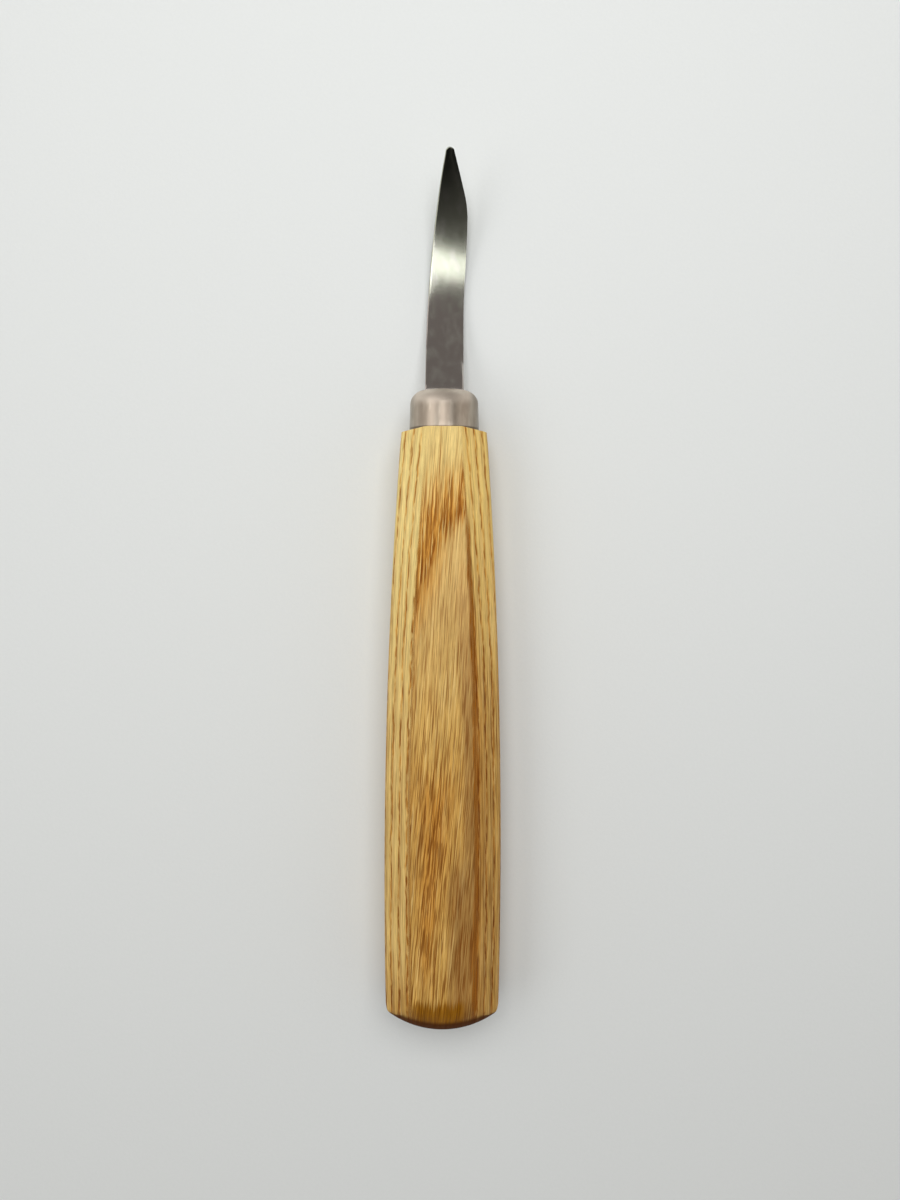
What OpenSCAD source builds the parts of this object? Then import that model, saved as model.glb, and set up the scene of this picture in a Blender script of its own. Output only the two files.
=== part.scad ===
// Spoon carving knife: a bent, ground blade set through a cup ferrule into a facetted ash handle.
// Millimetres. +Y runs from the butt to the tip, +Z is up, and the handle's lower facet rests on z = 0.

/* [Handle] */
// Length of the grip, from the crown of its shoulder to the butt
handle_len = 116.4; // [90:0.1:140]
// How far each side of the grip swells out beyond the shoulder, at its widest place
belly_swell = 3; // [2.2:0.1:5.5]
// Distance of the widest place from the butt
belly_from_butt = 33.5; // [20:0.5:50]
// Ledge of wood beside the ferrule, at each side
side_ledge = 1.45; // [1:0.05:2]
// Ledge of wood above and below the ferrule, which keeps it clear of the surface the knife lies on
rest_ledge = 1; // [0.5:0.05:2]
// Width of the shoulder's level middle
shoulder_flat = 6.8; // [4:0.1:10]
// Angle by which the shoulder falls back at each side of it
shoulder_fall = 8; // [3:0.5:15]
// Plan width of each slanted facet
facet_w = 5; // [3:0.1:5.5]
// Radius that softens the long arrises
arris_r = 2.2; // [0.5:0.1:3]
// Radius of the domed butt, seen from above
butt_dome_r = 18; // [16:0.5:30]
// Radius of the butt's corners, seen from above
butt_corner_r = 5; // [3:0.5:7]
// Length over which the upper and lower facets roll over to the butt
butt_roll_len = 8; // [6:0.5:10]
// Angle at which that roll, and the corners' rounding, break away from the faces beside them
butt_crease = 7.3; // [4:0.1:12]
// Height of the upright land left at the middle of the butt
butt_land = 3; // [2:0.5:6]

/* [Ferrule] */
// Outside diameter at the open end
ferrule_d = 13.6; // [12:0.1:17]
// Length from the open end to the closed end
ferrule_len = 8.1; // [6:0.1:14]
// How much smaller the diameter is at the closed end
ferrule_draft = 0.3; // [0:0.05:0.6]
// Outer radius at the rim of the closed end
ferrule_rim_r = 2.75; // [1.5:0.05:3.5]
// Wall thickness
ferrule_wall = 0.8; // [0.5:0.05:1]

/* [Blade] */
// Length along the bend, from the ferrule to the tip
blade_len = 50.4; // [40:0.1:62]
// Width where the blade leaves the ferrule
blade_w = 7.55; // [6:0.05:9]
// Thickness of the steel at the ferrule
steel_t = 1.8; // [1.4:0.05:2.2]
// Radius of the spoon bend, at the middle of the steel
bend_r = 34; // [28:0.5:45]
// Radius of the neck that turns the blade down in front of the ferrule
neck_r = 2.5; // [2:0.1:5]
// Room between the lowest part of the blade and the surface the knife lies on
blade_room = 0.45; // [0.2:0.05:1.5]
// Length of the straight stretch of the spine
spine_straight = 8; // [4:0.5:16]
// How far past the knife's middle line the spine has come at the tip
tip_x = 0.25; // [-0.5:0.05:0.8]
// Width that spine and cutting edge leave between them at the tip
tip_w = 1.35; // [0.8:0.05:2]
// How far the cutting edge swells out beyond its line at the ferrule
swell = 0.7; // [0:0.05:1]
// Where the swell starts, from the ferrule
swell_from = 17; // [12:0.5:24]
// Length of the point, from the fullest place of the cutting edge to the tip
point_len = 13.9; // [10:0.1:18]
// Radius of the belly, from which the edge runs straight to the tip
belly_r = 20; // [10:0.5:40]
// Length of the rounded tip
tip_round = 0.9; // [0.4:0.05:1.2]
// Length of full-thickness steel left at the ferrule
ricasso_len = 2.5; // [1:0.5:6]
// Length over which the grind runs out into that steel
plunge_len = 7; // [3:0.5:12]
// Width of the sharpened bevel beside the cutting edge
bevel_w = 0.7; // [0.3:0.05:1]
// Thickness of the steel behind that bevel
bevel_t = 0.32; // [0.2:0.02:0.5]
// Thickness left at the cutting edge
edge_t = 0.08; // [0.05:0.01:0.15]
// Bevel that breaks the corners of the spine and of the tang
corner_bevel = 0.25; // [0.1:0.05:0.3]

/* [Tang] */
// Length of the tang behind its shoulders
tang_len = 44; // [30:1:60]
// Step by which each face of the tang lies below the blade's
tang_step = 0.1; // [0.05:0.05:0.2]
// Width of the tang at its shoulders
tang_w = 4.6; // [3.5:0.1:5]
// Width of the tang at its end
tang_end_w = 2.6; // [2:0.1:3]
// Thickness of the tang at its end
tang_end_t = 1.2; // [0.8:0.05:1.3]

/* [Fits] */
// Gap between the tenon and the inside of the ferrule
ferrule_fit = 0.05; // [0.02:0.01:0.2]
// Depth of the ferrule's seat in the shoulder where it is shallowest, at the sides
seat_lip = 0.05; // [0.02:0.01:0.3]
// Gap all round the blade in the ferrule's slot
slot_fit = 0.1; // [0.05:0.05:0.3]
// Least thickness of adhesive round the tang's corners
bond_t = 0.2; // [0.1:0.05:0.4]
// Depth of the bore beyond the tang's end
bore_room = 1; // [0.5:0.5:3]

/* [Hidden] */
$fn = 256;
// Extra length of a cutter past the face that it opens
past = 0.5;
// Depth by which the tenon runs into the grip that carries it
root = 1;
// Steps in each rounded arris and in the ferrule's rim
arris_steps = 4;
rim_steps = 12;
// Steps along the neck, the bend and the rounded tip
neck_steps = 8;
bend_steps = 52;
tip_steps = 8;
// How nearly the tip's rounding closes, as an angle
tip_close = 80;
// Angle between neighbouring facets
facet_turn = 45;
// Largest shares of a narrow tip that its corner bevel and its sharpened bevel may take
tip_corner_share = 1 / 8;
tip_bevel_share = 1 / 3;
// Half the point angle of the drill that made the bore
drill_half_angle = 59;

deg = 180 / PI;
shoulder_w = ferrule_d + 2 * side_ledge;
handle_t = ferrule_d + 2 * rest_ledge;
axis_z = handle_t / 2;

// Barrel outline: an arc through the shoulder's side, widest at the belly
belly_w = shoulder_w + 2 * belly_swell;
belly_to_shoulder = handle_len - belly_from_butt;
side_r = (belly_to_shoulder * belly_to_shoulder + belly_swell * belly_swell) / (2 * belly_swell);

// Blade path: the neck turns down by dip_angle, and the bend brings it up again to tip_angle
dip = axis_z - blade_room - steel_t / 2;
dip_angle = acos(1 - dip / (neck_r + bend_r));
neck_len = neck_r * dip_angle / deg;
tip_angle = (blade_len - neck_len) / bend_r * deg - dip_angle;
blade_reach = (neck_r + bend_r) * sin(dip_angle) + bend_r * sin(tip_angle);

// Spine: an arc from its straight stretch to the tip
spine_run = blade_len - spine_straight;
spine_drop = blade_w / 2 + tip_x;
spine_r = (spine_run * spine_run + spine_drop * spine_drop) / (2 * spine_drop);

// Cutting edge: an arc at the belly, and the tangent from it to the tip
swell_to = blade_len - point_len;
edge_full = blade_w / 2 + swell;
belly_rest = belly_r - (edge_full - tip_x - tip_w);
belly_to_tip = sqrt(point_len * point_len + belly_rest * belly_rest);
tip_taper = asin(belly_r / belly_to_tip) - atan2(belly_rest, point_len);

// The ferrule's open end is let into the shoulder, by no more than the lip at the sides
seat_d = ferrule_d + 2 * ferrule_fit;
let_in = (seat_d - shoulder_flat) / 2 * tan(shoulder_fall) + seat_lip;

// Places along the knife, centred on its whole length
whole_len = handle_len - let_in + ferrule_len + blade_reach;
butt_y = -whole_len / 2;
shoulder_y = butt_y + handle_len;
foot_y = shoulder_y - let_in;
cap_y = foot_y + ferrule_len;
belly_y = butt_y + belly_from_butt;

// The blade's shoulders bear on the end of the tenon, just inside the ferrule's closed end
seat_depth = ferrule_wall + ferrule_fit;
seat_y = cap_y - seat_depth;
tang_t = steel_t - 2 * tang_step;
bore_d = sqrt(tang_w * tang_w + tang_t * tang_t) + 2 * bond_t;
bore_len = tang_len + bore_room;

function arc(centre, r, from, to, steps) =
    [for (i = [0 : steps]) let (a = from + (to - from) * i / steps) centre + r * [cos(a), sin(a)]];

// A value that goes smoothly from 0 to 1 as t does
function ease(t) = let (u = min(max(t, 0), 1)) u * u * (3 - 2 * u);

function mix(a, b, t) = a + (b - a) * t;

// Inward sag of an arc of radius r at a distance d past its start
function sag(r, d) = r - sqrt(r * r - max(d, 0) * max(d, 0));

// Turns what was made along +Z to run along the knife from y
module along(y) {
    translate([0, y, axis_z])
        rotate([-90, 0, 0])
            children();
}

// Half of the facetted section, out to the rim at r, with softened arrises. Beyond the arrises it runs out
// past the upper and lower facets, which the slab gives
function facet_section(r) =
    let (
        inner = r - 2 * belly_w,
        pull = arris_r * tan(facet_turn / 2),
        first_slope = facet_turn / arris_steps / 2,
        low = [r - facet_w - pull, arris_r],
        side = [r - arris_r, facet_w + pull],
        run_out = [low[0] - past / tan(first_slope), -past],
        low_arc = arc(low, arris_r, -90, -facet_turn, arris_steps),
        side_arc = arc(side, arris_r, -facet_turn, 0, arris_steps),
        lower = concat([[inner, -past], run_out], low_arc, side_arc)
    )
    concat(lower, [for (i = [len(lower) - 1 : -1 : 0]) [lower[i][0], handle_t - lower[i][1]]]);

// One long side of the barrel, bowed about an upright axis far to the other side
module barrel_side() {
    sweep = 2 * asin(handle_len / side_r);
    translate([belly_w / 2 - side_r, belly_y, 0])
        rotate([0, 0, -sweep / 2])
            rotate_extrude(angle = sweep)
                polygon(facet_section(side_r));
}

// The upper and lower facets, and the shoulder's level middle
module slab() {
    translate([-belly_w, butt_y - past, 0])
        cube([2 * belly_w, handle_len + past, handle_t]);
}

// What lies outside a quarter of a circle
module rim_cut(r) {
    difference() {
        square(r + past);
        circle(r);
    }
}

// Half section of the butt, as (radius, height) about an upright axis: two arcs roll the upper and
// lower facets over to an upright land
module butt_section() {
    rise = (handle_t - butt_land) / 2;
    chord = sqrt(butt_roll_len * butt_roll_len + rise * rise);
    roll_r = chord / (2 * sin(atan2(rise, butt_roll_len) - butt_crease));
    centre_r = butt_dome_r - butt_roll_len - roll_r * sin(butt_crease);
    centre_z = handle_t - roll_r * cos(butt_crease);
    difference() {
        translate([0, -past])
            square([butt_dome_r, handle_t + 2 * past]);
        translate([centre_r, centre_z])
            rim_cut(roll_r);
        translate([centre_r, handle_t - centre_z])
            mirror([0, 1])
                rim_cut(roll_r);
    }
}

// What the butt's shaping leaves: a domed end, and everything in front of it
module butt_shape() {
    translate([0, butt_y + butt_dome_r, 0])
        rotate_extrude()
            butt_section();
    translate([-belly_w, butt_y + butt_dome_r, -2 * past])
        cube([2 * belly_w, handle_len, handle_t + 4 * past]);
}

// What rounds one corner of the butt: all that lies outside an arc between the dome and the long side
module butt_corner_cut() {
    inset = butt_corner_r * cos(butt_crease);
    dome = [0, butt_y + butt_dome_r];
    bow = [belly_w / 2 - side_r, belly_y];
    span = norm(bow - dome);
    dir = (bow - dome) / span;
    from_dome = butt_dome_r - inset;
    from_bow = side_r - inset;
    t = (from_dome * from_dome - from_bow * from_bow + span * span) / (2 * span);
    off = sqrt(from_dome * from_dome - t * t);
    centre = dome + t * dir + off * [-dir[1], dir[0]];
    to_dome = 2 * butt_corner_r * (centre - dome) / from_dome;
    to_side = 2 * butt_corner_r * (centre - bow) / from_bow;
    translate([0, 0, -past])
        linear_extrude(handle_t + 2 * past)
            difference() {
                polygon([centre, centre + to_side, centre + to_side + to_dome, centre + to_dome]);
                translate(centre)
                    circle(butt_corner_r);
            }
}

// What is cut off the shoulder where it falls back to one side
module shoulder_cut() {
    translate([shoulder_flat / 2, shoulder_y, -past])
        rotate([0, 0, -shoulder_fall])
            translate([-past, 0, 0])
                cube([belly_w, belly_w, handle_t + 2 * past]);
}

// The round seat that lets the ferrule into the shoulder
module ferrule_seat() {
    along(foot_y)
        cylinder(d = seat_d, h = let_in + past);
}

module grip() {
    difference() {
        intersection() {
            slab();
            barrel_side();
            mirror([1, 0, 0])
                barrel_side();
            butt_shape();
        }
        butt_corner_cut();
        mirror([1, 0, 0])
            butt_corner_cut();
        shoulder_cut();
        mirror([1, 0, 0])
            shoulder_cut();
        ferrule_seat();
    }
}

// Outline of the cup, as (radius, length), at a depth inside its outer face and from a base line
function cup_outline(inset, base) =
    let (front_r = (ferrule_d - ferrule_draft) / 2)
    concat(
        [[0, base], [ferrule_d / 2 - inset, base]],
        arc([front_r - ferrule_rim_r, ferrule_len - ferrule_rim_r], ferrule_rim_r - inset, 0, 90, rim_steps),
        [[0, ferrule_len - inset]]
    );

module tenon() {
    along(foot_y)
        rotate_extrude()
            polygon(cup_outline(ferrule_wall + ferrule_fit, -root));
}

// Drilled bore for the tang, with a mouth that runs past the seat by open
module bore(open) {
    along(seat_y - bore_len)
        cylinder(d = bore_d, h = bore_len + open);
    along(seat_y - bore_len)
        mirror([0, 0, 1])
            cylinder(d1 = bore_d, d2 = 0, h = bore_d / 2 / tan(drill_half_angle));
}

// Place and slope of the steel's middle, at a length s along it from the ferrule
function path(s) =
    s <= 0 ? [s, 0, 0]
    : s < neck_len ? let (a = s / neck_r * deg) [neck_r * sin(a), neck_r * (cos(a) - 1), -a]
    : let (a = (s - neck_len) / bend_r * deg - dip_angle)
        [
            (neck_r + bend_r) * sin(dip_angle) + bend_r * sin(a),
            bend_r * (1 - cos(a)) - dip,
            a
        ];

// Spine and cutting edge, as distances across the blade from the knife's middle line
function spine_x(s) = sag(spine_r, s - spine_straight) - blade_w / 2;
function edge_x(s) =
    let (
        full = blade_w / 2 + swell * ease((s - swell_from) / (swell_to - swell_from)),
        bow = min(s - swell_to, belly_r * sin(tip_taper))
    )
    full - sag(belly_r, bow) - max(s - swell_to - bow, 0) * tan(tip_taper);

// Ring of a section: from the spine over the upper face to the edge, and back below
function section_ring(s, x, h) =
    let (
        p = path(s),
        upper = [for (i = [0 : len(x) - 1]) [x[i], h[i]]],
        lower = [for (i = [len(x) - 1 : -1 : 0]) [x[i], -h[i]]]
    )
    [for (q = concat(upper, lower))
        [q[0], cap_y + p[0] - q[1] * sin(p[2]), axis_z + p[1] + q[1] * cos(p[2])]];

// Section of the tang: a bar with broken corners
function bar_ring(s, w, t) =
    let (b = corner_bevel)
    section_ring(s, [-w / 2, b - w / 2, w / 2 - b, w / 2], [t / 2 - b, t / 2, t / 2, t / 2 - b]);

// Section of the blade: full steel at the ferrule, ground to a wedge with a sharpened bevel beyond
function blade_ring(s, spine, edge) =
    let (
        ground = ease((s - ricasso_len) / plunge_len),
        width = edge - spine,
        b = min(corner_bevel, width * tip_corner_share),
        bevel = mix(corner_bevel, min(bevel_w, width * tip_bevel_share), ground),
        back = bevel_t + (steel_t - bevel_t) * width / blade_w
    )
    section_ring(
        s,
        [spine, spine + b, edge - bevel, edge],
        [
            back / 2 - b,
            back / 2,
            mix(steel_t, bevel_t, ground) / 2,
            mix(steel_t - 2 * corner_bevel, edge_t, ground) / 2
        ]
    );

// The tip closes in a round from the width that spine and edge leave there
function tip_ring(a) =
    let (
        s = blade_len - tip_round,
        mid = (spine_x(s) + edge_x(s)) / 2,
        half = (edge_x(s) - spine_x(s)) / 2 * cos(a)
    )
    blade_ring(s + tip_round * sin(a), mid - half, mid + half);

// A solid through rings of equal count, closed flat at both ends
module loft(rings) {
    n = len(rings[0]);
    last = len(rings) - 1;
    sides = [
        for (i = [0 : last - 1], j = [0 : n - 1])
            let (k = (j + 1) % n)
            each [[i * n + j, (i + 1) * n + j, (i + 1) * n + k], [i * n + j, (i + 1) * n + k, i * n + k]]
    ];
    start = [for (j = [0 : n - 1]) j];
    end = [for (j = [n - 1 : -1 : 0]) last * n + j];
    polyhedron(points = [for (ring = rings) each ring], faces = concat([start], sides, [end]));
}

// The tang's rings, from its end to s
function tang_rings(s) = [
    bar_ring(-seat_depth - tang_len, tang_end_w, tang_end_t),
    bar_ring(-seat_depth, tang_w, tang_t),
    if (s > -seat_depth) bar_ring(s, tang_w, tang_t)
];

module blade() {
    spoon_len = blade_len - tip_round - neck_len;
    color([0.55, 0.55, 0.54])
        loft(concat(
            tang_rings(-seat_depth),
            [bar_ring(-seat_depth, blade_w, steel_t)],
            [for (i = [0 : neck_steps])
                let (s = neck_len * i / neck_steps) blade_ring(s, spine_x(s), edge_x(s))],
            [for (i = [1 : bend_steps])
                let (s = neck_len + spoon_len * i / bend_steps) blade_ring(s, spine_x(s), edge_x(s))],
            [for (i = [1 : tip_steps]) tip_ring(tip_close * i / tip_steps)]
        ));
}

module ferrule() {
    slot_w = blade_w + 2 * slot_fit;
    slot_t = steel_t + 2 * slot_fit;
    color([0.66, 0.63, 0.58])
        difference() {
            along(foot_y)
                rotate_extrude()
                    polygon(cup_outline(0, 0));
            along(foot_y)
                rotate_extrude()
                    polygon(cup_outline(ferrule_wall, -root));
            translate([-slot_w / 2, cap_y - ferrule_rim_r, axis_z - slot_t / 2])
                cube([slot_w, ferrule_rim_r + past, slot_t]);
        }
}

module tang_adhesive() {
    color([0.85, 0.78, 0.55])
        difference() {
            bore(0);
            loft(tang_rings(past));
        }
}

module handle() {
    color([0.8, 0.66, 0.42])
        difference() {
            union() {
                grip();
                tenon();
            }
            bore(past);
        }
}

blade();
ferrule();
tang_adhesive();
handle();
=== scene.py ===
"""Spoon carving knife: fine meshes, materials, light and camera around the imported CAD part."""

import math

import bpy
import numpy as np
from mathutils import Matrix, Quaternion, Vector


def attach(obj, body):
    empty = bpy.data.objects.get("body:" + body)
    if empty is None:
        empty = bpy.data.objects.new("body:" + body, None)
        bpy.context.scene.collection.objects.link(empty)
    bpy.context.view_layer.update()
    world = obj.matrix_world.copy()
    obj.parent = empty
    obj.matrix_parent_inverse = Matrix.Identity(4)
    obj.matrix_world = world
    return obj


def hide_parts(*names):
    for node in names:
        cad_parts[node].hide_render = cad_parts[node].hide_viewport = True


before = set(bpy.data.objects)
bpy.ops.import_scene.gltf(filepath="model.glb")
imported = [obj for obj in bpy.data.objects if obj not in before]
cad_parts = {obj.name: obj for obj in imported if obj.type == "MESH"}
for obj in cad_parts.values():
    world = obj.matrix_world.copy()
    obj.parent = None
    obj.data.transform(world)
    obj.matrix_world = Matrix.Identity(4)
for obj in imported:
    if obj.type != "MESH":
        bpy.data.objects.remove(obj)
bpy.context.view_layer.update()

MM = 0.001

# Sizes of the part, in millimetres and degrees, as in its source
HANDLE_LEN = 116.4
BELLY_SWELL = 3.0
BELLY_FROM_BUTT = 33.5
SIDE_LEDGE = 1.45
REST_LEDGE = 1.0
SHOULDER_FLAT = 6.8
SHOULDER_FALL = 8.0
FACET_W = 5.0
ARRIS_R = 2.2
BUTT_DOME_R = 18.0
BUTT_CORNER_R = 5.0
BUTT_ROLL_LEN = 8.0
BUTT_CREASE = 7.3
BUTT_LAND = 3.0
FERRULE_D = 13.6
FERRULE_LEN = 8.1
FERRULE_DRAFT = 0.3
FERRULE_RIM_R = 2.75
FERRULE_WALL = 0.8
BLADE_LEN = 50.4
BLADE_W = 7.55
STEEL_T = 1.8
BEND_R = 34.0
NECK_R = 2.5
BLADE_ROOM = 0.45
SPINE_STRAIGHT = 8.0
TIP_X = 0.25
TIP_W = 1.35
SWELL = 0.7
SWELL_FROM = 17.0
POINT_LEN = 13.9
BELLY_R = 20.0
TIP_ROUND = 0.9
RICASSO_LEN = 2.5
PLUNGE_LEN = 7.0
BEVEL_W = 0.7
BEVEL_T = 0.32
EDGE_T = 0.08
CORNER_BEVEL = 0.25
TANG_LEN = 44.0
TANG_STEP = 0.1
TANG_W = 4.6
TANG_END_W = 2.6
TANG_END_T = 1.2
FERRULE_FIT = 0.05
SEAT_LIP = 0.05
SLOT_FIT = 0.1
BOND_T = 0.2
BORE_ROOM = 1.0
DRILL_HALF_ANGLE = 59.0

# Sizes that follow from them
SHOULDER_W = FERRULE_D + 2 * SIDE_LEDGE
HANDLE_T = FERRULE_D + 2 * REST_LEDGE
AXIS_Z = HANDLE_T / 2
BELLY_W = SHOULDER_W + 2 * BELLY_SWELL
BELLY_TO_SHOULDER = HANDLE_LEN - BELLY_FROM_BUTT
SIDE_R = (BELLY_TO_SHOULDER**2 + BELLY_SWELL**2) / (2 * BELLY_SWELL)
DIP = AXIS_Z - BLADE_ROOM - STEEL_T / 2
DIP_ANGLE = math.acos(1 - DIP / (NECK_R + BEND_R))
NECK_LEN = NECK_R * DIP_ANGLE
TIP_ANGLE = (BLADE_LEN - NECK_LEN) / BEND_R - DIP_ANGLE
BLADE_REACH = (NECK_R + BEND_R) * math.sin(DIP_ANGLE) + BEND_R * math.sin(TIP_ANGLE)
SPINE_RUN, SPINE_DROP = BLADE_LEN - SPINE_STRAIGHT, BLADE_W / 2 + TIP_X
SPINE_R = (SPINE_RUN**2 + SPINE_DROP**2) / (2 * SPINE_DROP)
SWELL_TO = BLADE_LEN - POINT_LEN
BELLY_REST = BELLY_R - (BLADE_W / 2 + SWELL - TIP_X - TIP_W)
TIP_TAPER = math.asin(BELLY_R / math.hypot(POINT_LEN, BELLY_REST)) - math.atan2(BELLY_REST, POINT_LEN)
SEAT_R = FERRULE_D / 2 + FERRULE_FIT
LET_IN = (SEAT_R - SHOULDER_FLAT / 2) * math.tan(math.radians(SHOULDER_FALL)) + SEAT_LIP
BUTT_Y = -(HANDLE_LEN - LET_IN + FERRULE_LEN + BLADE_REACH) / 2
SHOULDER_Y = BUTT_Y + HANDLE_LEN
FOOT_Y = SHOULDER_Y - LET_IN
CAP_Y = FOOT_Y + FERRULE_LEN
BELLY_Y = BUTT_Y + BELLY_FROM_BUTT
SEAT_DEPTH = FERRULE_WALL + FERRULE_FIT
TANG_T = STEEL_T - 2 * TANG_STEP
BORE_R = math.hypot(TANG_W, TANG_T) / 2 + BOND_T


def new_mesh(name, verts_mm, faces, material):
    """A smooth-shaded object from millimetre points."""
    mesh = bpy.data.meshes.new(name)
    mesh.from_pydata((np.asarray(verts_mm) * MM).tolist(), [], faces)
    mesh.validate()
    mesh.update()
    mesh.polygons.foreach_set("use_smooth", [True] * len(mesh.polygons))
    mesh.materials.append(material)
    obj = bpy.data.objects.new(name, mesh)
    bpy.context.scene.collection.objects.link(obj)
    return obj


def ring_faces(rings, points):
    """One face that closes the first ring, quads between neighbouring rings, and one that closes the last."""
    faces = [list(range(points))[::-1]]
    for i in range(rings - 1):
        a, b = i * points, (i + 1) * points
        for j in range(points):
            k = (j + 1) % points
            faces.append((a + j, a + k, b + k, b + j))
    faces.append(list(range((rings - 1) * points, rings * points)))
    return faces


def flipped(faces):
    return [list(f)[::-1] for f in faces]


def ease(t):
    """Rises smoothly from 0 to 1."""
    u = np.clip(t, 0, 1)
    return u * u * (3 - 2 * u)


# Handle: steps round its section and along it, then lengths in millimetres
FLAT_STEPS, ARRIS_STEPS, SLANT_STEPS, TOP_STEPS = 10, 8, 14, 24
BUTT_RINGS, BODY_STATIONS, SHOULDER_STATIONS = 72, 240, 16
EDGE_STEPS, NOSE_STEPS, BORE_STATIONS = 4, 6, 12
SHOULDER_SHARES = (0.75, 0.5, 0.25, 0.0)
BUTT_START = 14.0
BUTT_SOFT = 0.4
FALL_START = 4.0
EDGE_SOFT = 0.15
# How fast the rolled rim lets go of the surface towards the middle of the dome
ROLL_RELEASE = 0.2
RAY_REACH, RAY_HALVINGS = 40.0, 48
# The share of the bore's radius that is left at the drill's point
BORE_POINT = 0.02
# How far the surface faces the butt where end grain, also painted shade, begins to show, and over what span
END_GRAIN_FROM, END_GRAIN_SPAN = 0.5, 0.13


def half_width(y):
    return BELLY_W / 2 - SIDE_R + np.sqrt(SIDE_R**2 - (y - BELLY_Y) ** 2)


def section_ring(w):
    """Points (x, z from the axis) round the facetted section of half width w, with soft arrises."""
    h, pull = HANDLE_T / 2, ARRIS_R * math.tan(math.pi / 8)
    corner_a = np.array([w - ARRIS_R, h - FACET_W - pull])
    corner_b = np.array([w - FACET_W - pull, h - ARRIS_R])
    turn = np.linspace(0, math.pi / 4, ARRIS_STEPS + 1)
    arc_a = corner_a + ARRIS_R * np.stack([np.cos(turn), np.sin(turn)], 1)
    arc_b = corner_b + ARRIS_R * np.stack([np.cos(turn + math.pi / 4), np.sin(turn + math.pi / 4)], 1)
    flat = np.linspace(0, 1, FLAT_STEPS // 2 + 1)[:-1, None] * (arc_a[0] - [w, 0]) + [w, 0]
    slant = np.linspace(0, 1, SLANT_STEPS + 1)[1:-1, None] * (arc_b[0] - arc_a[-1]) + arc_a[-1]
    top = np.linspace(0, 1, TOP_STEPS // 2 + 1)[1:, None] * ([0, h] - arc_b[-1]) + arc_b[-1]
    quarter = np.concatenate([flat, arc_a, slant, arc_b, top])
    left = quarter[-2::-1] * [-1, 1]
    upper = np.concatenate([quarter, left])
    return np.concatenate([upper, upper[-2:0:-1] * [1, -1]])


def section_distance(x, y, z):
    """How far a point is outside the level facets, and outside the arrises, slanted facets and sides."""
    w, h = half_width(y), HANDLE_T / 2
    px, pz = np.abs(x), np.abs(z)
    side = px - (w - ARRIS_R)
    slant = (px + pz) / math.sqrt(2) - ((w + h - FACET_W) / math.sqrt(2) - ARRIS_R)
    pull = ARRIS_R * math.tan(math.pi / 8)
    ax, az = px - (w - ARRIS_R), pz - (h - FACET_W - pull)
    bx, bz = px - (w - FACET_W - pull), pz - (h - ARRIS_R)
    d = np.maximum(side, slant)
    d = np.where((az >= 0) & (ax >= az), np.hypot(ax, az), d)
    d = np.where((bx >= 0) & (bz >= bx), np.hypot(bx, bz), d)
    return pz - h, d - ARRIS_R


def butt_distances(x, y, z):
    """How far a point is outside the dome, its corners and its rolled rims."""
    rise = (HANDLE_T - BUTT_LAND) / 2
    chord = math.hypot(BUTT_ROLL_LEN, rise)
    crease = math.radians(BUTT_CREASE)
    roll_r = chord / (2 * math.sin(math.atan2(rise, BUTT_ROLL_LEN) - crease))
    centre_r = BUTT_DOME_R - BUTT_ROLL_LEN - roll_r * math.sin(crease)
    centre_z = HANDLE_T / 2 - roll_r * math.cos(crease)
    dome_y = BUTT_Y + BUTT_DOME_R
    rho = np.hypot(x, y - dome_y)
    roll = np.hypot(np.maximum(rho - centre_r, 0), np.maximum(np.abs(z) - centre_z, 0)) - roll_r
    roll -= np.maximum(centre_r - rho, 0) * ROLL_RELEASE

    inset = BUTT_CORNER_R * math.cos(crease)
    dome, bow = np.array([0, dome_y]), np.array([BELLY_W / 2 - SIDE_R, BELLY_Y])
    span = np.linalg.norm(bow - dome)
    run = (bow - dome) / span
    from_dome, from_bow = BUTT_DOME_R - inset, SIDE_R - inset
    along = (from_dome**2 - from_bow**2 + span**2) / (2 * span)
    centre = dome + along * run + math.sqrt(from_dome**2 - along**2) * np.array([-run[1], run[0]])
    to_dome, to_side = (centre - dome) / from_dome, (centre - bow) / from_bow
    qx, qy = np.abs(x) - centre[0], y - centre[1]
    past_side = to_side[0] * qy - to_side[1] * qx <= 0
    past_dome = to_dome[0] * qy - to_dome[1] * qx >= 0
    corner = np.where(past_side & past_dome, np.hypot(qx, qy) - BUTT_CORNER_R, -1.0)
    return rho - BUTT_DOME_R, corner, roll


def soft_max(a, b, k):
    """The greater of two values, rounded off where they differ by less than k."""
    h = np.maximum(k - np.abs(a - b), 0) / k
    return np.maximum(a, b) + h * h * k / 4


def butt_ray(origin, direction):
    """Distances along rays from inside the butt to its surface."""
    low, high = np.zeros(len(direction)), np.full(len(direction), RAY_REACH)
    for _ in range(RAY_HALVINGS):
        mid = (low + high) / 2
        p = origin + mid[:, None] * direction
        level, sides = section_distance(p[:, 0], p[:, 1], p[:, 2])
        dome, corner, roll = butt_distances(p[:, 0], p[:, 1], p[:, 2])
        end = soft_max(soft_max(dome, roll, BUTT_SOFT), sides, BUTT_SOFT)
        inside = np.maximum(np.maximum(end, corner), level) < 0
        low, high = np.where(inside, mid, low), np.where(inside, high, mid)
    return (low + high) / 2


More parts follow.
